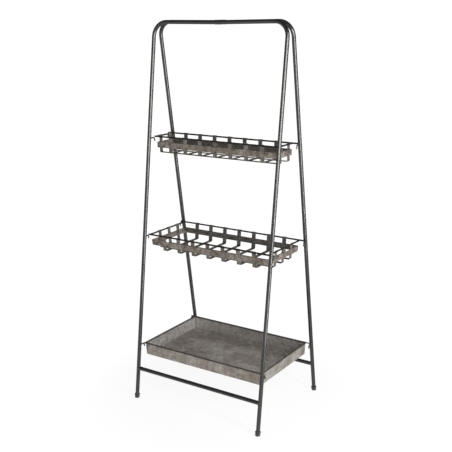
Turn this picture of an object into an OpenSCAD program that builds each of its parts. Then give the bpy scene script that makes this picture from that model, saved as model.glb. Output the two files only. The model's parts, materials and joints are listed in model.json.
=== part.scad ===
// Folding three-tier plant stand: two inverted-U tube frames hinged side by side at the top,
// two strap baskets and a sheet tray that hang between the legs on bent rod hooks.
// Origin: on the floor, midway between the four feet. +X right, +Y rear, +Z up. Millimetres.

/* [Frames] */
// Height of the open stand, to the corners of its top bars before they are rounded
overall_h = 1400; // [1300:5:1500]
// Outside diameter of the frame tube
tube_d = 14.5; // [13:0.1:15]
// Wall thickness of the frame tube
tube_wall = 1.2; // [0.8:0.1:2]
// Distance between the left and right leg centrelines at the floor
foot_spacing_x = 543; // [540:1:550]
// Distance between the left and right leg centrelines at the level of the top bar
top_spacing_x = 552; // [551:1:560]
// Distance between the front and rear leg centrelines at the floor
foot_spacing_y = 416; // [400:2:440]
// Distance between the two top bar centrelines
bar_gap = 28; // [26:0.5:32]
// Centreline radius of the two bends at the top of each frame
bend_r = 50; // [40:1:70]
// How far a top bar rises from its middle to each end
bar_rise = 2.4; // [0.5:0.1:4]
// Height of the low crossbars above the floor
crossbar_z = 115; // [90:1:130]

/* [Hinge clip] */
// Width of the figure-eight strap that ties the two top bars together
clip_w = 26; // [20:1:40]
// Thickness of that strap
clip_t = 0.8; // [0.8:0.1:1.5]
// Radial running clearance of the front bar in the clip
clip_clearance = 0.06; // [0.02:0.01:0.1]
// Diameter of the rivet between the bars
rivet_d = 4; // [3:0.5:5]

/* [Foot caps] */
// Largest diameter of a foot cap
cap_d = 20.5; // [19:0.5:24]
// How far a cap reaches up the leg
cap_grip = 11; // [8:0.5:16]

/* [Shelf hooks] */
// Diameter of the rod that the hooks are bent from
hook_d = 5; // [4:0.5:5]
// How far a hook runs on past the shelf wire before its tail
hook_reach = 4.5; // [3:0.5:5]
// Length of the straight part of a hook's tail
hook_tail = 9; // [5:0.5:14]
// Tilt of the tail away from the leg, in degrees
hook_tilt = 15; // [0:1:30]
// Sideways offset of a hook from the leg centreline: front ones inward, rear ones outward
hook_offset = 2.7; // [2.6:0.1:3]

/* [Tray] */
// Height of the tray's rim wire above the floor
tray_z = 210; // [200:1:230]
// Length of the tray between its end wires
tray_l = 518; // [512:1:518]
// Width of the tray between its front and rear wires
tray_w = 324; // [312:1:326]
// Depth of the tray below its rim wire
tray_depth = 47; // [35:1:55]
// Thickness of the tray sheet
tray_t = 0.8; // [0.6:0.1:1]
// Diameter of the wire rolled into the tray's edge
tray_wire_d = 4; // [3.5:0.1:4.2]
// Inward lean of the tray walls, in degrees
tray_lean = 2.7; // [1:0.1:6]

/* [Baskets] */
// Height of the middle basket's rim above the floor
middle_z = 626; // [620:1:640]
// Length of the middle basket between its end rods
middle_l = 515; // [508:1:516]
// Width of the middle basket between its front and rear rods
middle_w = 218; // [210:1:218]
// Height of the top basket's rim above the floor
top_z = 986; // [975:1:1000]
// Length of the top basket between its end rods
top_l = 516; // [506:1:517]
// Width of the top basket between its front and rear rods
top_w = 101; // [94:1:102]
// Depth of the middle basket below its rim rods
middle_depth = 59; // [50:1:62]
// Depth of the top basket below its rim rods
top_depth = 61; // [50:1:64]
// Diameter of the rim rods
rod_d = 6; // [5:0.1:6.4]
// Width of the straps
strap_w = 16.5; // [14:0.5:17]
// Thickness of the straps and of the band
strap_t = 1.2; // [1:0.1:1.4]
// Height of the band around a basket
band_h = 21; // [16:0.5:22]
// Distance from the rim rod's centre down to the band's upper edge
band_drop = 20; // [15:0.5:20]
// Inward lean of the middle basket's walls, in degrees
middle_lean = 5.6; // [1:0.1:7]
// Inward lean of the top basket's walls, in degrees
top_lean = 0.5; // [0.5:0.1:5]
// Straps across each basket, front to rear
cross_straps = 7; // [5:2:7]
// Distance between neighbouring cross straps, middle to middle
strap_pitch = 65; // [60:0.5:66]
// Straps along the middle basket
middle_long_straps = 3; // [2:1:3]
// Distance between the outermost straps along the middle basket, middle to middle
middle_strap_span = 109; // [90:1:120]
// Straps along the top basket
top_long_straps = 2; // [2:1:2]
// Distance between the outermost straps along the top basket, middle to middle
top_strap_span = 56; // [40:1:58]

/* [Hidden] */
$fn = 48;
weld_gap = 0.02;        // hairline between welded or pressed pieces
rest_gap = 0.05;        // hairline between a shelf wire and the hook it lies on

tube_r = tube_d / 2;
bar_z = overall_h - tube_r - bar_rise;
lean = atan2((foot_spacing_y - bar_gap) / 2, bar_z);
seam_gap = 0.1;         // between the two halves of a frame, hidden in the clip
lap = 0.1;              // how far a straight stretch runs into the bend next to it
bend_step = 0.05;       // how much thinner a bend's surface is than the straights beside it
bar_level = 32;         // level stretch on each side of a top bar's middle
level_bend_r = 120;     // bend radius where the level stretch ends
ferrule_l = 60;
ferrule_wall = 1.2;

cap_floor = 4;          // thickness of a foot cap under the tube, on the leg's axis
cap_r = cap_d / 2;
cap_lip = 1.2;
cap_flare = 1.3;        // how much narrower the cap is at the floor than at its lip
leg_len = (bar_z - cap_floor) / cos(lean);
foot_x = foot_spacing_x / 2;
corner_x = top_spacing_x / 2;
toe = atan2(corner_x - foot_x, leg_len + bar_rise);

hook_r = hook_d / 2;
hook_bend_r = 4;
tip_chamfer = 1;        // at the cut end of a hook
wire_past_hook = 1.2;   // a rear wire runs this far past its hook
wire_short_of_leg = 0.8; // a front wire stops this far inside the leg

rod_r = rod_d / 2;
tray_wire_r = tray_wire_d / 2;
curl_clear = 0.05;      // between a rim rod and the strap curled over it
curl_end = 62;          // where a strap's curl stops: degrees above level, outside the rod
strap_bend_r = 3.2;
sheet_bend_r = 2.2;
floor_lip = 6;          // strip of tray floor drawn with the walls
mitre_out = 20;         // how far the mitre wedges reach outside their rectangle
mitre_h = 200;

tube_color = [0.33, 0.34, 0.35];
rod_color = [0.20, 0.18, 0.16];
strap_color = [0.50, 0.48, 0.44];
zinc_color = [0.56, 0.55, 0.52];
cap_color = [0.22, 0.22, 0.23];

// ---- where the legs are -------------------------------------------------------------------

// Distance of a leg's centreline from the middle of the stand, at height z.
function leg_y(z) = bar_gap / 2 + (bar_z - z) * tan(lean);
function leg_x(z) = foot_x + (z - cap_floor) / cos(lean) * tan(toe);

// Half length of a shelf's front wire: it stops just inside the legs.
function front_reach(rim_z) = leg_x(rim_z) - tube_r - wire_short_of_leg;
// Half length of a shelf's rear wire: it lies across the rear hooks.
function rear_reach(rim_z) = leg_x(rim_z) + hook_offset + hook_r + wire_past_hook;

// ---- paths with round bends ---------------------------------------------------------------

function heading(a, b) = atan2(b.y - a.y, b.x - a.x);
function signed_turn(d) = d > 180 ? d - 360 : d < -180 ? d + 360 : d;
function turn(a, b, c) = signed_turn(heading(b, c) - heading(a, b));
// Length that the bend at point i takes off the straight stretches on both sides of it.
function setback(pts, radii, i) =
    i == 0 || i == len(pts) - 1
        ? 0
        : radii[i] * tan(abs(turn(pts[i - 1], pts[i], pts[i + 1])) / 2);
// How far from point i the straight stretch beside it begins.
function straight_start(pts, radii, i) = max(0, setback(pts, radii, i) - lap);

// A tube, or a rod when r_in is 0, along a flat path of straight stretches joined by bends.
module bent_tube(pts, radii, r_out, r_in) {
    for (i = [0 : len(pts) - 2]) {
        h = heading(pts[i], pts[i + 1]);
        before = straight_start(pts, radii, i);
        after = straight_start(pts, radii, i + 1);
        translate([pts[i].x + before * cos(h), pts[i].y + before * sin(h), 0])
            rotate([90, 0, h + 90])
                linear_extrude(norm(pts[i + 1] - pts[i]) - before - after)
                    ring_2d(r_out, r_in);
    }
    for (i = [1 : 1 : len(pts) - 2]) {
        a = turn(pts[i - 1], pts[i], pts[i + 1]);
        h = heading(pts[i - 1], pts[i]);
        s = setback(pts, radii, i);
        centre = pts[i] - s * [cos(h), sin(h)] + sign(a) * radii[i] * [-sin(h), cos(h)];
        translate([centre.x, centre.y, 0])
            rotate([0, 0, a > 0 ? h - 90 : h + 90 + a])
                rotate_extrude(angle = abs(a))
                    translate([radii[i], 0])
                        ring_2d(r_out - bend_step, r_in == 0 ? 0 : r_in + bend_step);
    }
}

// Draws a ribbon of thickness t along the same kind of path, as a 2D shape.
module ribbon_2d(pts, radii, t) {
    for (i = [0 : len(pts) - 2]) {
        h = heading(pts[i], pts[i + 1]);
        before = straight_start(pts, radii, i);
        after = straight_start(pts, radii, i + 1);
        translate(pts[i] + before * [cos(h), sin(h)])
            rotate(h)
                translate([0, -t / 2])
                    square([norm(pts[i + 1] - pts[i]) - before - after, t]);
    }
    for (i = [1 : 1 : len(pts) - 2]) {
        a = turn(pts[i - 1], pts[i], pts[i + 1]);
        h = heading(pts[i - 1], pts[i]);
        s = setback(pts, radii, i);
        centre = pts[i] - s * [cos(h), sin(h)] + sign(a) * radii[i] * [-sin(h), cos(h)];
        reach = 2 * (radii[i] + t);
        translate(centre)
            rotate(a > 0 ? h - 90 : h + 90 + a)
                intersection() {
                    ring_2d(radii[i] + t / 2 - bend_step, radii[i] - t / 2 + bend_step);
                    polygon([[0, 0], [reach, 0], reach * [cos(abs(a)), sin(abs(a))]]);
                }
    }
}

module ring_2d(r_out, r_in) {
    difference() {
        circle(r_out);
        if (r_in > 0) circle(r_in);
    }
}

module flip_x(s) {
    if (s > 0) children();
    else mirror([1, 0, 0]) children();
}

module flip_y(s) {
    if (s > 0) children();
    else mirror([0, 1, 0]) children();
}

// Runs a 2D profile round a rectangle with mitred corners. The profile's x is the distance
// outward from the rectangle, and its y is height.
module mitred_ring(half_x, half_y) {
    far_x = half_x + mitre_out;
    far_y = half_y + mitre_out;
    ridge_x = half_x - half_y;
    for (s = [-1, 1]) {
        flip_y(s)
            intersection() {
                translate([-far_x, half_y, 0])
                    rotate([90, 0, 90])
                        linear_extrude(2 * far_x)
                            children();
                translate([0, 0, -mitre_h / 2])
                    linear_extrude(mitre_h)
                        polygon([[-ridge_x, 0], [ridge_x, 0], [far_x, far_y], [-far_x, far_y]]);
            }
        flip_x(s)
            intersection() {
                translate([half_x, far_y, 0])
                    rotate([90, 0, 0])
                        linear_extrude(2 * far_y)
                            children();
                translate([0, 0, -mitre_h / 2])
                    linear_extrude(mitre_h)
                        polygon([[ridge_x, 0], [far_x, -far_y], [far_x, far_y]]);
            }
    }
}

// ---- frames -------------------------------------------------------------------------------

// Leans something drawn upright under a top bar into its frame: s = -1 front, 1 rear.
module in_frame(s) {
    translate([0, s * bar_gap / 2, bar_z])
        rotate([s * lean, 0, 0])
            children();
}

// One half of a frame: half the top bar, the bend and the leg. side = -1 left, 1 right.
module frame_half(s, side) {
    path = [[seam_gap / 2, 0], [bar_level, 0], [corner_x, bar_rise], [foot_x, -leg_len]];
    color(tube_color)
        in_frame(s)
            flip_x(side)
                rotate([90, 0, 0])
                    bent_tube(path, [0, level_bend_r, bend_r, 0], tube_r, tube_r - tube_wall);
}

// A leg's outside as a solid, for fitting other pieces against it.
module leg_solid(s, side) {
    in_frame(s)
        flip_x(side)
            rotate([90, 0, 0])
                bent_tube([[corner_x, bar_rise], [foot_x, -leg_len]], [0, 0], tube_r + weld_gap, 0);
}

// The plug inside a top bar that joins the two halves of a frame.
module bar_ferrule(s) {
    plug_r = tube_r - tube_wall - weld_gap;
    color(tube_color)
        in_frame(s)
            translate([-ferrule_l / 2, 0, 0])
                rotate([90, 0, 90])
                    linear_extrude(ferrule_l)
                        ring_2d(plug_r, plug_r - ferrule_wall);
}

// The low bar between a frame's legs, its ends shaped to fit them.
module crossbar(s) {
    half = leg_x(crossbar_z);
    color(tube_color)
        difference() {
            translate([-half, s * leg_y(crossbar_z), crossbar_z])
                rotate([90, 0, 90])
                    linear_extrude(2 * half)
                        ring_2d(tube_r, tube_r - tube_wall);
            leg_solid(s, -1);
            leg_solid(s, 1);
        }
}

// Section of a foot cap, drawn beside the leg's axis and running on below the floor.
module cap_section() {
    fit_r = tube_r + weld_gap;
    floor_r = cap_r - cap_flare;
    lip_z = cap_grip - cap_lip;
    polygon([
        [0, -2 * cap_floor], [floor_r, -2 * cap_floor], [floor_r, -cap_floor / 2],
        [cap_r - 0.2, lip_z], [cap_r - cap_lip, cap_grip], [fit_r, cap_grip], [fit_r, 0], [0, 0]
    ]);
    translate([cap_r - cap_lip, lip_z])
        circle(cap_lip);
}

module foot_caps(s) {
    below = 50;
    color(cap_color)
        difference() {
            for (side = [-1, 1])
                in_frame(s)
                    translate([side * foot_x, 0, -leg_len])
                        rotate([0, side * toe, 0])
                            rotate_extrude()
                                cap_section();
            translate([-foot_spacing_x, -foot_spacing_y, -below])
                cube([2 * foot_spacing_x, 2 * foot_spacing_y, below]);
        }
}

// ---- hinge clip ---------------------------------------------------------------------------

// Side view of the clip: a ring round each bar and a flat web between them, with fillets.
module clip_section() {
    outer_r = tube_r + clip_clearance + clip_t;
    fillet_r = 3;
    fillet_v = clip_t + fillet_r;
    reach = outer_r + fillet_r;
    fillet_u = bar_gap / 2 - sqrt(reach * reach - fillet_v * fillet_v);
    touch_v = outer_r * fillet_v / reach;
    difference() {
        union() {
            for (s = [-1, 1])
                translate([s * bar_gap / 2, 0])
                    circle(outer_r);
            difference() {
                square([bar_gap, 2 * touch_v], center = true);
                for (v = [-fillet_v, fillet_v]) {
                    for (u = [-fillet_u, fillet_u])
                        translate([u, v])
                            circle(fillet_r - bend_step);
                    translate([0, v])
                        square([2 * fillet_u, 2 * fillet_r], center = true);
                }
            }
        }
        translate([-bar_gap / 2, 0])
            circle(tube_r + clip_clearance);
        translate([bar_gap / 2, 0])
            circle(tube_r + weld_gap);
    }
}

module hinge_clip() {
    color(tube_color)
        difference() {
            translate([-clip_w / 2, 0, bar_z])
                rotate([90, 0, 90])
                    linear_extrude(clip_w)
                        clip_section();
            translate([0, 0, bar_z])
                cylinder(h = 4 * clip_t, r = rivet_d / 2 + weld_gap, center = true);
        }
}

module hinge_rivet() {
    head_r = rivet_d * 0.9;
    head_h = rivet_d * 0.35;
    color(rod_color)
        translate([0, 0, bar_z]) {
            cylinder(h = 2 * clip_t, r = rivet_d / 2, center = true);
            for (v = [0, 1])
                mirror([0, 0, v])
                    translate([0, 0, clip_t]) {
                        cylinder(h = head_h / 2, r = head_r);
                        translate([0, 0, head_h / 2])
                            cylinder(h = head_h / 2, r1 = head_r, r2 = head_r * 0.6);
                    }
        }
}

// ---- shelf hooks --------------------------------------------------------------------------

// A rod welded to the leg's inner side. It runs level under a shelf wire and turns down.
module shelf_hook(s, side, rim_z, rim_y, wire_r) {
    z = rim_z - wire_r - hook_r - rest_gap;
    bend_y = rim_y - hook_reach;
    drop = hook_tail + hook_bend_r;
    tip = [bend_y - drop * sin(hook_tilt), z - drop * cos(hook_tilt)];
    difference() {
        translate([side * (leg_x(z) + s * hook_offset), 0, 0])
            flip_y(s)
                rotate([90, 0, 90]) {
                    bent_tube([[leg_y(z), z], [bend_y, z], tip], [0, hook_bend_r, 0], hook_r, 0);
                    translate([tip.x, tip.y, 0])
                        rotate([90, 0, -hook_tilt])
                            translate([0, 0, -lap])
                                cylinder(h = tip_chamfer, r1 = hook_r - bend_step, r2 = hook_r - tip_chamfer);
                }
        leg_solid(s, side);
    }
}

module shelf_hooks(s) {
    color(tube_color)
        for (side = [-1, 1]) {
            shelf_hook(s, side, tray_z, tray_w / 2, tray_wire_r);
            shelf_hook(s, side, middle_z, middle_w / 2, rod_r);
            shelf_hook(s, side, top_z, top_w / 2, rod_r);
        }
}

// ---- shelf wires --------------------------------------------------------------------------

// A straight wire along X with rounded ends.
module long_wire(half, r, y, z) {
    color(rod_color)
        translate([0, y, z]) {
            rotate([0, 90, 0])
                cylinder(h = 2 * (half - r), r = r, center = true);
            for (side = [-1, 1])
                translate([side * (half - r), 0, 0])
                    sphere(r);
        }
}

// The two short wires between the long ones, their ends shaped to fit them.
module end_wires(half_x, half_y, r, z) {
    color(rod_color)
        for (side = [-1, 1])
            difference() {
                translate([side * half_x, 0, z])
                    rotate([90, 0, 0])
                        cylinder(h = 2 * half_y, r = r, center = true);
                for (s = [-1, 1])
                    translate([side * half_x, s * half_y, z])
                        rotate([0, 90, 0])
                            cylinder(h = 6 * r, r = r + weld_gap, center = true);
            }
}

// ---- sheet and strap walls ----------------------------------------------------------------

// Points of a wall's middle line, from the rim wire at the origin down and inward. The wall
// starts at radius mid_r inside the wire and turns inward at depth fall to end at floor_u.
function wall_points(mid_r, wall_lean, fall, floor_u) =
    let (
        top = mid_r * [-cos(wall_lean), sin(wall_lean)],
        corner = [top.x - (fall + top.y) * tan(wall_lean), -fall]
    )
    [top, corner, [floor_u, -fall]];

// Side view of a strap, from its curl over the rim rod to the middle of the basket.
module strap_half_2d(half, fall, wall_lean) {
    mid_r = rod_r + curl_clear + strap_t / 2;
    reach = 4 * mid_r;
    start = 180 - wall_lean + atan(lap / mid_r);
    difference() {
        ring_2d(mid_r + strap_t / 2 - bend_step, mid_r - strap_t / 2 + bend_step);
        polygon([[0, 0], reach * [cos(start), sin(start)], [-reach, -reach],
                 [reach, -reach], reach * [cos(curl_end), sin(curl_end)]]);
    }
    ribbon_2d(wall_points(mid_r, wall_lean, fall, -half - lap), [0, strap_bend_r, 0], strap_t);
}

// A strap across a basket of the given half width, drawn in the XY plane and centred on Z.
module strap(half, fall, wall_lean) {
    linear_extrude(strap_w, center = true)
        for (side = [-1, 1])
            flip_x(side)
                translate([half, 0])
                    strap_half_2d(half, fall, wall_lean);
}

// Straps from front to rear, evenly spaced along the basket. They lie on the long ones.
module basket_cross_straps(width, z, depth, wall_lean) {
    color(strap_color)
        for (i = [0 : cross_straps - 1])
            translate([(i - (cross_straps - 1) / 2) * strap_pitch, 0, z])
                rotate([90, 0, 90])
                    strap(width / 2, depth - 1.5 * strap_t - weld_gap, wall_lean);
}

// Straps from end to end.
module basket_long_straps(length, z, depth, wall_lean, count, span) {
    color(strap_color)
        for (i = [0 : count - 1])
            translate([0, (i / (count - 1) - 0.5) * span, z])
                rotate([90, 0, 0])
                    strap(length / 2, depth - strap_t / 2, wall_lean);
}

// The band round the outside of the straps.
module basket_band(length, width, z, wall_lean) {
    inner_face = rod_r + curl_clear - weld_gap;
    color(strap_color)
        translate([0, 0, z])
            mitred_ring(length / 2, width / 2)
                rotate(-wall_lean)
                    translate([-inner_face, -band_drop - band_h])
                        square([strap_t, band_h]);
}

// ---- tray ---------------------------------------------------------------------------------

// The folded sheet: mitred walls rolled round the rim wire at the top, and a flat floor.
module tray_pan() {
    half_x = tray_l / 2;
    half_y = tray_w / 2;
    bore_r = tray_wire_r + weld_gap;
    mid_r = bore_r + tray_t / 2;
    fall = tray_depth - tray_t / 2;
    corner_u = wall_points(mid_r, tray_lean, fall, 0)[1].x;
    floor_u = corner_u - floor_lip;
    floor_size = 2 * [half_x + floor_u + floor_lip / 2, half_y + floor_u + floor_lip / 2];
    color(zinc_color)
        translate([0, 0, tray_z])
            difference() {
                union() {
                    mitred_ring(half_x, half_y)
                        union() {
                            circle(bore_r + tray_t);
                            ribbon_2d(wall_points(mid_r, tray_lean, fall, floor_u),
                                      [0, sheet_bend_r, 0], tray_t);
                        }
                    translate([0, 0, -fall])
                        cube([floor_size.x, floor_size.y, tray_t], center = true);
                }
                for (s = [-1, 1]) {
                    translate([0, s * half_y, 0])
                        rotate([0, 90, 0])
                            cylinder(h = 3 * half_x, r = bore_r, center = true);
                    translate([s * half_x, 0, 0])
                        rotate([90, 0, 0])
                            cylinder(h = 2 * half_y, r = bore_r, center = true);
                }
            }
}

// ---- nodes --------------------------------------------------------------------------------

module rear_left_tube() { frame_half(1, -1); }
module rear_right_tube() { frame_half(1, 1); }
module rear_bar_ferrule() { bar_ferrule(1); }
module rear_crossbar() { crossbar(1); }
module rear_shelf_hooks() { shelf_hooks(1); }
module rear_foot_caps() { foot_caps(1); }

module front_left_tube() { frame_half(-1, -1); }
module front_right_tube() { frame_half(-1, 1); }
module front_bar_ferrule() { bar_ferrule(-1); }
module front_crossbar() { crossbar(-1); }
module front_shelf_hooks() { shelf_hooks(-1); }
module front_foot_caps() { foot_caps(-1); }

module tray_front_wire() { long_wire(front_reach(tray_z), tray_wire_r, -tray_w / 2, tray_z); }
module tray_rear_wire() { long_wire(rear_reach(tray_z), tray_wire_r, tray_w / 2, tray_z); }
module tray_end_wires() { end_wires(tray_l / 2, tray_w / 2, tray_wire_r, tray_z); }

module middle_front_rod() { long_wire(front_reach(middle_z), rod_r, -middle_w / 2, middle_z); }
module middle_rear_rod() { long_wire(rear_reach(middle_z), rod_r, middle_w / 2, middle_z); }
module middle_end_rods() { end_wires(middle_l / 2, middle_w / 2, rod_r, middle_z); }
module middle_cross_straps() { basket_cross_straps(middle_w, middle_z, middle_depth, middle_lean); }
module middle_long_straps() {
    basket_long_straps(middle_l, middle_z, middle_depth, middle_lean,
                       middle_long_straps, middle_strap_span);
}
module middle_band() { basket_band(middle_l, middle_w, middle_z, middle_lean); }

module top_front_rod() { long_wire(front_reach(top_z), rod_r, -top_w / 2, top_z); }
module top_rear_rod() { long_wire(rear_reach(top_z), rod_r, top_w / 2, top_z); }
module top_end_rods() { end_wires(top_l / 2, top_w / 2, rod_r, top_z); }
module top_cross_straps() { basket_cross_straps(top_w, top_z, top_depth, top_lean); }
module top_long_straps() {
    basket_long_straps(top_l, top_z, top_depth, top_lean, top_long_straps, top_strap_span);
}
module top_band() { basket_band(top_l, top_w, top_z, top_lean); }

rear_left_tube();
rear_right_tube();
rear_bar_ferrule();
rear_crossbar();
rear_shelf_hooks();
rear_foot_caps();
hinge_clip();
hinge_rivet();
front_left_tube();
front_right_tube();
front_bar_ferrule();
front_crossbar();
front_shelf_hooks();
front_foot_caps();
tray_pan();
tray_front_wire();
tray_rear_wire();
tray_end_wires();
middle_front_rod();
middle_rear_rod();
middle_end_rods();
middle_cross_straps();
middle_long_straps();
middle_band();
top_front_rod();
top_rear_rod();
top_end_rods();
top_cross_straps();
top_long_straps();
top_band();
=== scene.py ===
"""Looks for the folding three-tier plant stand: metal finishes, weld beads and spot welds,
folded corner tabs on the tray, a pale floor, studio light and the camera."""

import json
import math

import bpy
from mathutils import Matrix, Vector


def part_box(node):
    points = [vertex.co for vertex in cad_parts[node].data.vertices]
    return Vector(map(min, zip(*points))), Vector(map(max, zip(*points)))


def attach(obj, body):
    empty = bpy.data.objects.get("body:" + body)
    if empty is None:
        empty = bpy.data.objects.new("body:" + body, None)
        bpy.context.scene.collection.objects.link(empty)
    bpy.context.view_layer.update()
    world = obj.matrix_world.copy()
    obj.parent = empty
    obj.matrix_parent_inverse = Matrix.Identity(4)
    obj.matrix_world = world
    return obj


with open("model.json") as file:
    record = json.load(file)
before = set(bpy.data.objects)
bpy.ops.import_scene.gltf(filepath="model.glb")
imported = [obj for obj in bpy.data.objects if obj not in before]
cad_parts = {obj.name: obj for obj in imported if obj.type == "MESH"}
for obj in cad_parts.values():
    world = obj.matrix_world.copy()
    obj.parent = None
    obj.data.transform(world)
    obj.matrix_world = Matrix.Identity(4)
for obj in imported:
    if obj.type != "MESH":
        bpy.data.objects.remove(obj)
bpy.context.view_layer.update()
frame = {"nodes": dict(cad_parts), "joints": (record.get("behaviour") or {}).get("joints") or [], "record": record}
nodes = frame["nodes"]
record = frame["record"]

# ---- sizes, from the frame ------------------------------------------------------------------


def size_of(node):
    low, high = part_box(node)
    return Vector(high) - Vector(low)


def middle_of(node):
    low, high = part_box(node)
    return (Vector(high) + Vector(low)) / 2


JOINTS = {j["name"]: j for j in frame["joints"]}
FOOT = Vector(next(m["pos_m"] for m in record["mounts"] if m["name"] == "foot_rear_right"))
BAR = Vector(JOINTS["frame_fold"]["pos_m"])
TUBE_R = size_of("rear_crossbar").z / 2
CROSSBAR_Z = middle_of("rear_crossbar").z
LEG_TOP_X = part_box("rear_right_tube")[1][0] - TUBE_R
LEG_TOP_DROP = 0.058
LEG_TOP_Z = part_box("rear_right_tube")[1][2] - LEG_TOP_DROP
HOOK_R = 0.0025
HOOK_OFFSET = 0.0027
REST_GAP = 0.00005
STRAP_W = 0.0165
TRAY_LEAN = math.radians(2.7)
CROSSBAR_BEAD_R = 0.0011
HOOK_BEAD_R = 0.0007
ROD_BEAD_R = 0.0006
NUGGET_R = 0.0014
NUGGET_H = 0.0002
NUGGET_SHIFT = 0.004
EDGE_ROUND = 0.0003
BASKET_LEAN = {"middle": math.radians(5.6), "top": math.radians(0.5)}
SHELVES = {
    "tray": ("tray_front_wire", "tray_rear_wire", "tray_end_wires"),
    "middle_basket": ("middle_front_rod", "middle_rear_rod", "middle_end_rods"),
    "top_basket": ("top_front_rod", "top_rear_rod", "top_end_rods"),
}


def leg_y(z):
    """Distance of a leg's axis from the middle of the stand at height z."""
    return FOOT.y + (abs(BAR.y) - FOOT.y) * z / BAR.z


def leg_x(z):
    return FOOT.x + (LEG_TOP_X - FOOT.x) * z / LEG_TOP_Z


LEG_SLOPE = leg_y(0) - leg_y(1)

# ---- materials ------------------------------------------------------------------------------


class Shader:
    """A new material and short ways to add and join its nodes."""

    def __init__(self, name):
        self.material = bpy.data.materials.new(name)
        self.material.use_nodes = True
        self.tree = self.material.node_tree
        self.surface = self.tree.nodes["Principled BSDF"]
        self.coords = self.tree.nodes.new("ShaderNodeTexCoord")

    def put(self, socket, value):
        if isinstance(value, bpy.types.NodeSocket):
            self.tree.links.new(value, socket)
        elif value is not None:
            socket.default_value = value

    def add(self, kind, settings=None, **inputs):
        node = self.tree.nodes.new("ShaderNode" + kind)
        for key, value in (settings or {}).items():
            setattr(node, key, value)
        for key, value in inputs.items():
            self.put(node.inputs[key.replace("_", " ")], value)
        return node

    def place(self, stretch=(1, 1, 1)):
        """Object coordinates, scaled: a larger number makes detail finer along that axis."""
        mapping = self.add("Mapping", Vector=self.coords.outputs["Object"], Scale=stretch)
        return mapping.outputs["Vector"]

    def noise(self, scale, stretch=(1, 1, 1), detail=4.0, roughness=0.55):
        node = self.add("TexNoise", Vector=self.place(stretch), Scale=scale,
                        Detail=detail, Roughness=roughness)
        return node.outputs["Fac"]

    def remap(self, value, low, high, to_low=0.0, to_high=1.0):
        node = self.add("MapRange", {"interpolation_type": "SMOOTHSTEP"})
        for socket, number in zip(node.inputs, (value, low, high, to_low, to_high)):
            self.put(socket, number)
        return node.outputs["Result"]

    def maths(self, operation, a, b):
        node = self.add("Math", {"operation": operation})
        self.put(node.inputs[0], a)
        self.put(node.inputs[1], b)
        return node.outputs["Value"]

    def inward(self, axis):
        """1 on walls across this axis that look towards the stand's middle, 0 elsewhere: the mask for the painted
        shade and painted light on the inside walls.
        """
        level = self.add("VectorMath", {"operation": "MULTIPLY"})
        self.put(level.inputs[0], self.coords.outputs["Object"])
        self.put(level.inputs[1], axis)
        facing = self.add("VectorMath", {"operation": "DOT_PRODUCT"})
        self.put(facing.inputs[0], level.outputs["Vector"])
        self.put(facing.inputs[1], self.coords.outputs["Normal"])
        return self.remap(facing.outputs["Value"], -0.030, -0.010, 1.0, 0.0)

    def mix(self, amount, a, b, blend="MIX"):
        node = self.add("Mix", {"data_type": "RGBA", "blend_type": blend})
        self.put(node.inputs["Factor"], amount)
        self.put(node.inputs[6], a)
        self.put(node.inputs[7], b)
        return node.outputs[2]

    def bump(self, height, distance, strength=1.0, normal=None):
        node = self.add("Bump", Height=height, Distance=distance, Strength=strength)
        self.put(node.inputs["Normal"], normal)
        return node.outputs["Normal"]

    def finish(self, color, metallic, roughness, normal=None, coat=0.0):
        self.put(self.surface.inputs["Base Color"], color)
        self.put(self.surface.inputs["Metallic"], metallic)
        self.put(self.surface.inputs["Roughness"], roughness)
        self.put(self.surface.inputs["Normal"], normal)
        self.put(self.surface.inputs["Coat Weight"], coat)
        self.put(self.surface.inputs["Coat Roughness"], 0.12)
        return self.material


def grey(value, warmth=0.0):
    """A linear grey, made warmer or, with a negative number, cooler."""
    return (value * (1 + warmth), value, value * (1 - warmth), 1.0)


def tube_steel(name, stretch):
    """Smooth dark lacquered tube: faint drawing lines along it and soft heat staining."""
    s = Shader(name)
    lines = s.noise(60.0, stretch, detail=3.0)
    stain = s.noise(9.0, detail=3.0)
    color = s.mix(s.remap(stain, 0.35, 0.7), grey(0.092, 0.01), grey(0.115, 0.03))
    color = s.mix(s.remap(lines, 0.3, 0.75, 0.0, 0.06), color, grey(0.20, 0.01))
    rough = s.remap(stain, 0.3, 0.7, 0.26, 0.30)
    return s.finish(color, 0.95, rough, coat=0.20)


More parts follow.
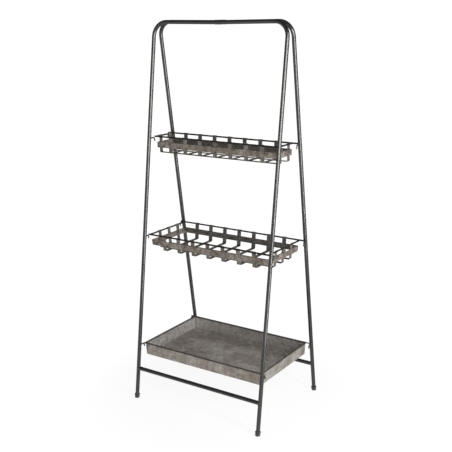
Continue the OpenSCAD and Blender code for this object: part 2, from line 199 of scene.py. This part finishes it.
def galvanised(name, dark, light, warmth, walls, ends=None, spangle=150.0, rim_z=None, patchy=0.35):
    """Aged zinc: crystal spangle, brown-grey patina in clouds and drips, fine scratches.
    walls and ends hold the dark and light crystals inside the long and the end walls, painted
    shade inside the long walls and painted light inside the tray's end walls. Crevices get
    painted shade. Above rim_z, where there is one, it is darker."""
    s = Shader(name)
    wobble = s.add("TexNoise", Vector=s.place(), Scale=90.0, Detail=3.0)
    warped = s.add("MixRGB", {"blend_type": "LINEAR_LIGHT"}, Fac=0.006,
                   Color1=s.place(), Color2=wobble.outputs["Color"])
    big = s.add("TexVoronoi", Vector=warped.outputs["Color"], Scale=spangle)
    small = s.add("TexVoronoi", Vector=warped.outputs["Color"], Scale=spangle * 2.6)
    tone = s.add("SeparateColor", Color=big.outputs["Color"]).outputs["Red"]
    tint = s.add("SeparateColor", Color=small.outputs["Color"]).outputs["Green"]
    crystal = s.maths("ADD", s.maths("MULTIPLY", tone, 0.6), s.maths("MULTIPLY", tint, 0.4))
    clouds = s.remap(s.noise(16.0, detail=7.0, roughness=0.62), 0.38, 0.60)
    drips = s.remap(s.noise(26.0, (2.2, 2.2, 0.35), detail=6.0), 0.42, 0.7)
    soot = s.remap(s.noise(64.0, detail=6.0, roughness=0.75), 0.50, 0.68)
    color = s.mix(crystal, grey(dark, warmth), grey(light, warmth * 0.4))
    color = s.mix(s.maths("MULTIPLY", clouds, 0.55), color, grey(dark * 0.82, warmth * 1.7))
    color = s.mix(s.maths("MULTIPLY", drips, 0.30), color, grey(light * 1.05, warmth * 0.3))
    color = s.mix(s.maths("MULTIPLY", soot, patchy), color, grey(dark * 0.40, warmth * 1.5))
    # Inside walls facing the middle take their own crystal values: painted shade on the long walls, painted light
    # on the tray's end walls.
    for axis, painted_tones in (((0.0, 1.0, 0.0), walls), ((1.0, 0.0, 0.0), ends)):
        if painted_tones is not None:
            inner = s.mix(crystal, grey(painted_tones[0], 0.03), grey(painted_tones[1], 0.0))
            color = s.mix(s.maths("MULTIPLY", s.inward(axis), 0.75), color, inner)
    # AO darkening in crevices and between parts: painted shade.
    crevice_shade = s.add("AmbientOcclusion", {"samples": 6}, Distance=0.012).outputs["AO"]
    color = s.mix(s.remap(crevice_shade, 0.35, 0.95, 0.45, 0.0), color, grey(dark * 0.3, warmth * 2))
    # Darker along the top of the rolled rim, above rim_z.
    if rim_z is not None:
        height = s.add("SeparateXYZ", Vector=s.coords.outputs["Object"]).outputs["Z"]
        color = s.mix(s.remap(height, rim_z - 0.0008, rim_z + 0.0008, 0.0, 0.8), color, grey(0.05, 0.1))
    rough = s.maths("ADD", s.remap(crystal, 0.2, 0.8, 0.36, 0.55), s.maths("MULTIPLY", clouds, 0.10))
    scratch = s.noise(38.0, (9.0, 1.0, 1.0), detail=4.0)
    dents = s.noise(7.0, detail=1.0)
    normal = s.bump(dents, 0.004, 0.30)
    normal = s.bump(crystal, 0.00022, 0.55, normal)
    normal = s.bump(scratch, 0.0001, 0.25, normal)
    return s.finish(color, 0.80, rough, normal)


def dark_wire(name):
    """Blackened rod with worn, slightly rusty patches."""
    s = Shader(name)
    worn = s.remap(s.noise(55.0, detail=6.0), 0.5, 0.72)
    rust = s.remap(s.noise(150.0, detail=5.0), 0.56, 0.74)
    color = s.mix(worn, grey(0.030, 0.14), grey(0.075, 0.10))
    color = s.mix(s.maths("MULTIPLY", rust, 0.5), color, (0.070, 0.048, 0.034, 1.0))
    rough = s.remap(worn, 0.0, 1.0, 0.52, 0.36)
    return s.finish(color, 0.75, rough, s.bump(s.noise(300.0), 0.0001, 0.4))


def moulded_cap(name):
    """Dark moulded cap, scuffed towards the floor."""
    s = Shader(name)
    height = s.add("SeparateXYZ", Vector=s.coords.outputs["Object"]).outputs["Z"]
    scuff = s.maths("MULTIPLY", s.remap(s.noise(240.0), 0.4, 0.7), s.remap(height, 0.0, 0.010, 1.0, 0.1))
    color = s.mix(scuff, grey(0.050, 0.0), grey(0.14, 0.05))
    rough = s.maths("ADD", s.maths("MULTIPLY", scuff, 0.25), 0.24)
    return s.finish(color, 0.15, rough, s.bump(s.noise(500.0), 0.00006, 0.4), coat=0.3)


def weld_metal(name):
    """Ripply weld metal with heat tint."""
    s = Shader(name)
    tint = s.remap(s.noise(190.0, detail=4.0), 0.38, 0.66)
    color = s.mix(tint, grey(0.10, 0.04), (0.19, 0.165, 0.14, 1.0))
    rough = s.remap(tint, 0.0, 1.0, 0.32, 0.5)
    return s.finish(color, 0.85, rough, s.bump(s.noise(900.0, detail=2.0), 0.0002, 0.6))


LENGTHWAYS_LEG = (6.0, 6.0, 0.12)
LENGTHWAYS_BAR = (0.12, 6.0, 6.0)
LEG_STEEL = tube_steel("leg_steel", LENGTHWAYS_LEG)
BAR_STEEL = tube_steel("bar_steel", LENGTHWAYS_BAR)
# The two pairs after the warmth: painted shade inside the long walls, and for the tray painted light inside its
# end walls.
TRAY_ZINC = galvanised("tray_zinc", 0.28, 0.73, 0.14, (0.27, 0.62), (0.42, 0.90),
                       rim_z=middle_of("tray_front_wire").z - 0.003)
STRAP_ZINC = galvanised("strap_zinc", 0.14, 0.42, 0.16, (0.075, 0.20), spangle=190.0, patchy=0.9)
BAND_ZINC = galvanised("band_zinc", 0.15, 0.58, 0.20, (0.055, 0.16), spangle=170.0, patchy=0.95)
WIRE = dark_wire("dark_wire")
CAP = moulded_cap("moulded_cap")
WELD = weld_metal("weld_metal")

FINISHES = {
    LEG_STEEL: ["rear_left_tube", "rear_right_tube", "front_left_tube", "front_right_tube",
                "rear_shelf_hooks", "front_shelf_hooks"],
    BAR_STEEL: ["rear_crossbar", "front_crossbar", "rear_bar_ferrule", "front_bar_ferrule",
                "hinge_clip"],
    TRAY_ZINC: ["tray_pan"],
    STRAP_ZINC: ["middle_cross_straps", "middle_long_straps", "top_cross_straps", "top_long_straps"],
    BAND_ZINC: ["middle_band", "top_band"],
    WIRE: ["tray_front_wire", "tray_rear_wire", "tray_end_wires", "middle_front_rod",
           "middle_rear_rod", "middle_end_rods", "top_front_rod", "top_rear_rod", "top_end_rods",
           "hinge_rivet"],
    CAP: ["rear_foot_caps", "front_foot_caps"],
}
for material, names in FINISHES.items():
    for name in names:
        nodes[name].data.materials.clear()
        nodes[name].data.materials.append(material)


def soften(node, width):
    """Rounds a CAD node's sharp edges with modifiers."""
    weld = nodes[node].modifiers.new("weld", "WELD")
    weld.merge_threshold = 0.000002
    bevel = nodes[node].modifiers.new("edges", "BEVEL")
    bevel.width = width
    bevel.segments = 2
    bevel.limit_method = "ANGLE"
    bevel.angle_limit = math.radians(40)
    bevel.harden_normals = True


for name in ("middle_cross_straps", "middle_long_straps", "middle_band",
             "top_cross_straps", "top_long_straps", "top_band"):
    soften(name, EDGE_ROUND)
soften("hinge_clip", EDGE_ROUND)

# ---- new pieces -----------------------------------------------------------------------------


def mesh_piece(name, verts, faces, material, body):
    """A new mesh that rides on a body."""
    mesh = bpy.data.meshes.new(name)
    mesh.from_pydata([tuple(v) for v in verts], [], faces)
    mesh.validate()
    mesh.update()
    for polygon in mesh.polygons:
        polygon.use_smooth = True
    mesh.materials.append(material)
    piece = bpy.data.objects.new(name, mesh)
    bpy.context.scene.collection.objects.link(piece)
    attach(piece, body)
    return piece


def add_closed_bead(verts, faces, points, radius, phase):
    """Adds a lumpy round bead along a closed loop of points."""
    sides = 8
    count = len(points)
    first = len(verts)
    centre = sum(points, Vector()) / count
    for i, point in enumerate(points):
        along = (points[(i + 1) % count] - points[i - 1]).normalized()
        out = point - centre
        out = (out - along * out.dot(along)).normalized()
        across = along.cross(out)
        swell = radius * (1 + 0.22 * math.sin(5.0 * i * math.tau / count * 3 + phase))
        for k in range(sides):
            a = math.tau * k / sides
            verts.append(point + swell * (math.cos(a) * out + math.sin(a) * across))
    for i in range(count):
        for k in range(sides):
            a = first + i * sides + k
            b = first + i * sides + (k + 1) % sides
            c = first + (i + 1) % count * sides + (k + 1) % sides
            d = first + (i + 1) % count * sides + k
            faces.append((a, b, c, d))


def crossbar_loop(s, side):
    """The line where a crossbar meets its leg."""
    steps = 48
    centre = Vector((side * leg_x(CROSSBAR_Z), s * leg_y(CROSSBAR_Z), CROSSBAR_Z))
    loop = []
    for i in range(steps):
        a = math.tau * i / steps
        y = TUBE_R * math.cos(a)
        z = TUBE_R * math.sin(a)
        out_y = y + s * LEG_SLOPE * z
        inward = math.sqrt(max(TUBE_R ** 2 - out_y ** 2, 0.0))
        loop.append(centre + Vector((-side * inward, y, z)))
    return loop


def hook_loop(s, side, z):
    """The line where a hook meets its leg."""
    steps = 28
    x_axis = side * (leg_x(z) + s * HOOK_OFFSET)
    loop = []
    for i in range(steps):
        a = math.tau * i / steps
        dx = HOOK_R * math.cos(a)
        dz = HOOK_R * math.sin(a)
        off = s * HOOK_OFFSET + side * dx
        y = leg_y(z + dz) - math.sqrt(max(TUBE_R ** 2 - off ** 2, 0.0))
        loop.append(Vector((x_axis + dx, s * y, z + dz)))
    return loop


def rod_loop(rod_r, corner, s):
    """The line where an end rod meets a long rod."""
    steps = 28
    loop = []
    for i in range(steps):
        a = math.tau * i / steps
        dx = rod_r * math.cos(a)
        dz = rod_r * math.sin(a)
        inward = math.sqrt(max(rod_r ** 2 - dz ** 2, 0.0))
        loop.append(corner + Vector((dx, -s * inward, dz)))
    return loop


def shelf_corner(shelf, side, s):
    """Centre of a shelf's corner, where the two rim rods meet, and the rod's radius."""
    front, rear, ends = SHELVES[shelf]
    long_rod = middle_of(rear if s > 0 else front)
    rod_r = size_of(front).z / 2
    half_x = size_of(ends).x / 2 - rod_r
    return Vector((side * half_x, long_rod.y, long_rod.z)), rod_r


for s, body in ((1, "rear_frame"), (-1, "front_frame")):
    verts, faces = [], []
    for side in (-1, 1):
        add_closed_bead(verts, faces, crossbar_loop(s, side), CROSSBAR_BEAD_R, side)
        for n, shelf in enumerate(SHELVES):
            corner, rod_r = shelf_corner(shelf, side, s)
            hook_z = corner.z - rod_r - HOOK_R - REST_GAP
            add_closed_bead(verts, faces, hook_loop(s, side, hook_z), HOOK_BEAD_R, n)
    mesh_piece(body + "_weld_beads", verts, faces, WELD, body)

for shelf in ("middle_basket", "top_basket"):
    verts, faces = [], []
    for side in (-1, 1):
        for s in (-1, 1):
            corner, rod_r = shelf_corner(shelf, side, s)
            add_closed_bead(verts, faces, rod_loop(rod_r, corner, s), ROD_BEAD_R, side + s)
    mesh_piece(shelf + "_rod_welds", verts, faces, WELD, shelf)


def add_dome(verts, faces, centre, normal, radius, height):
    """Adds a low spot-weld nugget with a dimple in its middle, standing on a flat face."""
    rings = ((1.0, -0.3), (0.92, 0.35), (0.72, 0.9), (0.5, 1.0), (0.3, 0.6), (0.12, 0.35))
    sides = 16
    along = normal.orthogonal().normalized()
    across = normal.cross(along)
    first = len(verts)
    for share, rise in rings:
        for k in range(sides):
            a = math.tau * k / sides
            spread = radius * share * (math.cos(a) * along + math.sin(a) * across)
            verts.append(centre + spread + normal * height * rise)
    for r in range(len(rings) - 1):
        for k in range(sides):
            a = first + r * sides + k
            b = first + r * sides + (k + 1) % sides
            faces.append((a, b, b + sides, a + sides))
    faces.append(tuple(first + (len(rings) - 1) * sides + k for k in range(sides)))


def row(count, extent):
    """Middles of straps that stand evenly along a row of this overall extent."""
    pitch = (extent - STRAP_W) / (count - 1)
    return [(i - (count - 1) / 2) * pitch for i in range(count)]


def spot_welds(shelf, prefix, across_count, along_count):
    """Two nuggets on the band at every strap, on its outer face."""
    verts, faces = [], []
    low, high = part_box(prefix + "_band")
    lean = BASKET_LEAN[prefix]
    mid_z = (low[2] + high[2]) / 2
    inset = (high[2] - low[2]) / 2 * math.tan(lean)
    face_y, face_x = high[1] - inset, high[0] - inset
    across = row(across_count, size_of(prefix + "_cross_straps").x)
    along = row(along_count, size_of(prefix + "_long_straps").y)
    for s in (-1, 1):
        for normal, places in (
            (Vector((0, s * math.cos(lean), -math.sin(lean))), [(x, s * face_y) for x in across]),
            (Vector((s * math.cos(lean), 0, -math.sin(lean))), [(s * face_x, y) for y in along]),
        ):
            beside = Vector((0, 0, 1)).cross(normal).normalized()
            for x, y in places:
                for shift in (-NUGGET_SHIFT, NUGGET_SHIFT):
                    centre = Vector((x, y, mid_z)) + shift * beside
                    add_dome(verts, faces, centre, normal, NUGGET_R, NUGGET_H)
    mesh_piece(prefix + "_spot_welds", verts, faces, BAND_ZINC, shelf)


spot_welds("middle_basket", "middle", 7, 3)
spot_welds("top_basket", "top", 7, 2)


def corner_tabs():
    """The tray's folded corners: a tab of each long wall laps the outside of the end wall."""
    verts, faces = [], []
    low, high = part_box("tray_pan")
    corner, wire_r = shelf_corner("tray", 1, 1)
    top_z = corner.z - wire_r - 0.0010
    foot_z = low[2] + 0.0032
    tab_t = 0.0007
    tab_w = 0.013
    sheet_out = 0.0002
    lean = math.tan(TRAY_LEAN)
    for side in (-1, 1):
        for s in (-1, 1):
            first = len(verts)
            for z, narrow in ((top_z, 0.0), (foot_z, 0.0025)):
                drop = corner.z - z
                face_x = corner.x - wire_r + sheet_out - drop * lean
                edge_y = corner.y - wire_r + sheet_out - drop * lean
                for out in (-0.0002, tab_t):
                    for y in (edge_y, edge_y - tab_w + narrow):
                        verts.append(Vector((side * (face_x + out), s * y, z)))
            a, b, c, d, e, f, g, h = range(first, first + 8)
            faces.extend([(a, b, d, c), (e, g, h, f), (a, c, g, e)])
            faces.extend([(b, f, h, d), (c, d, h, g), (a, e, f, b)])
    piece = mesh_piece("tray_corner_tabs", verts, faces, TRAY_ZINC, "tray")
    for polygon in piece.data.polygons:
        polygon.use_smooth = False
    bevel = piece.modifiers.new("edges", "BEVEL")
    bevel.width = EDGE_ROUND
    bevel.segments = 2
    return piece


corner_tabs()

# ---- stage ----------------------------------------------------------------------------------


def pale_floor():
    """A wide flat floor that fades into the white background."""
    half = 9.0
    mesh = bpy.data.meshes.new("floor")
    mesh.from_pydata([(-half, -half, 0), (half, -half, 0), (half, half, 0), (-half, half, 0)],
                     [], [(0, 1, 2, 3)])
    s = Shader("pale_floor")
    s.finish(s.mix(s.noise(3.0, detail=2.0), grey(0.88), grey(0.90)), 0.0, 0.9)
    distance = s.add("VectorMath", {"operation": "LENGTH"}, Vector=s.coords.outputs["Object"])
    fade = s.remap(distance.outputs["Value"], 0.25, 0.9, 0.86, 1.0)
    seen = s.add("LightPath").outputs["Is Camera Ray"]
    glow = s.add("Emission", Color=grey(1.0), Strength=s.remap(seen, 0.0, 1.0, 0.55, 1.05))
    both = s.add("MixShader", Fac=fade)
    s.put(both.inputs[1], s.surface.outputs["BSDF"])
    s.put(both.inputs[2], glow.outputs["Emission"])
    s.put(s.tree.nodes["Material Output"].inputs["Surface"], both.outputs["Shader"])
    mesh.materials.append(s.material)
    floor = bpy.data.objects.new("floor", mesh)
    bpy.context.scene.collection.objects.link(floor)


def softbox(name, place, aim, width, height, power, color=(1, 1, 1)):
    """A rectangular studio light at place, facing aim."""
    data = bpy.data.lights.new(name, "AREA")
    data.shape = "RECTANGLE"
    data.size = width
    data.size_y = height
    data.energy = power
    data.color = color
    lamp = bpy.data.objects.new(name, data)
    lamp.location = place
    lamp.rotation_euler = (Vector(aim) - Vector(place)).to_track_quat("-Z", "Y").to_euler()
    lamp.visible_camera = False
    bpy.context.scene.collection.objects.link(lamp)


def studio_world():
    """White to the camera; to everything else a grey room, darker overhead."""
    world = bpy.data.worlds.new("studio")
    world.use_nodes = True
    tree = world.node_tree
    tree.nodes.clear()
    out = tree.nodes.new("ShaderNodeOutputWorld")
    path = tree.nodes.new("ShaderNodeLightPath")
    coords = tree.nodes.new("ShaderNodeTexCoord")
    split = tree.nodes.new("ShaderNodeSeparateXYZ")
    ramp = tree.nodes.new("ShaderNodeValToRGB")
    room = tree.nodes.new("ShaderNodeBackground")
    white = tree.nodes.new("ShaderNodeBackground")
    either = tree.nodes.new("ShaderNodeMixShader")
    ramp.color_ramp.elements[0].color = (0.60, 0.60, 0.60, 1)
    ramp.color_ramp.elements[1].color = (0.16, 0.16, 0.17, 1)
    ramp.color_ramp.elements[1].position = 0.6
    room.inputs["Strength"].default_value = 0.65
    white.inputs["Color"].default_value = (1, 1, 1, 1)
    white.inputs["Strength"].default_value = 1.05
    tree.links.new(coords.outputs["Generated"], split.inputs["Vector"])
    tree.links.new(split.outputs["Z"], ramp.inputs["Fac"])
    tree.links.new(ramp.outputs["Color"], room.inputs["Color"])
    tree.links.new(path.outputs["Is Camera Ray"], either.inputs[0])
    tree.links.new(room.outputs[0], either.inputs[1])
    tree.links.new(white.outputs[0], either.inputs[2])
    tree.links.new(either.outputs[0], out.inputs["Surface"])
    bpy.context.scene.world = world


AZIMUTH = math.radians(34.06)
ELEVATION = math.radians(14.89)
ROLL = math.radians(-0.85)
DISTANCE = 2.93
LENS_MM = 64.05
AIM = Vector((0.011, 0.0, 0.670))


def studio_camera():
    """The camera, from the front right and slightly above the middle of the stand."""
    data = bpy.data.cameras.new("camera")
    data.lens = LENS_MM
    data.sensor_width = 36.0
    camera = bpy.data.objects.new("camera", data)
    back = Vector((math.sin(AZIMUTH) * math.cos(ELEVATION),
                   -math.cos(AZIMUTH) * math.cos(ELEVATION),
                   math.sin(ELEVATION)))
    camera.location = AIM + DISTANCE * back
    level = back.to_track_quat("Z", "Y").to_matrix()
    right = Vector((math.cos(AZIMUTH), math.sin(AZIMUTH), 0))
    up = back.cross(right)
    rolled_right = math.cos(ROLL) * right + math.sin(ROLL) * up
    rolled_up = math.cos(ROLL) * up - math.sin(ROLL) * right
    for i in range(3):
        level[i][0] = rolled_right[i]
        level[i][1] = rolled_up[i]
        level[i][2] = back[i]
    camera.rotation_euler = level.to_euler()
    bpy.context.scene.collection.objects.link(camera)
    bpy.context.scene.camera = camera


pale_floor()
studio_world()
softbox("key_right", (1.55, -0.50, 0.90), (0, -0.1, 0.85), 0.30, 2.3, 30.0, (0.96, 0.985, 1.0))
softbox("fill_front", (1.75, -2.1, 1.5), (0, 0, 0.6), 0.9, 1.2, 33.0, (1.0, 0.95, 0.89))
softbox("rim_left", (-1.9, 0.9, 1.1), (0, 0, 0.8), 0.35, 2.0, 1.2, (0.97, 0.98, 1.0))
softbox("back", (-0.8, 2.3, 1.4), (0, 0, 0.5), 1.6, 1.0, 3.0)
studio_camera()
bpy.context.scene.view_settings.view_transform = "Standard"
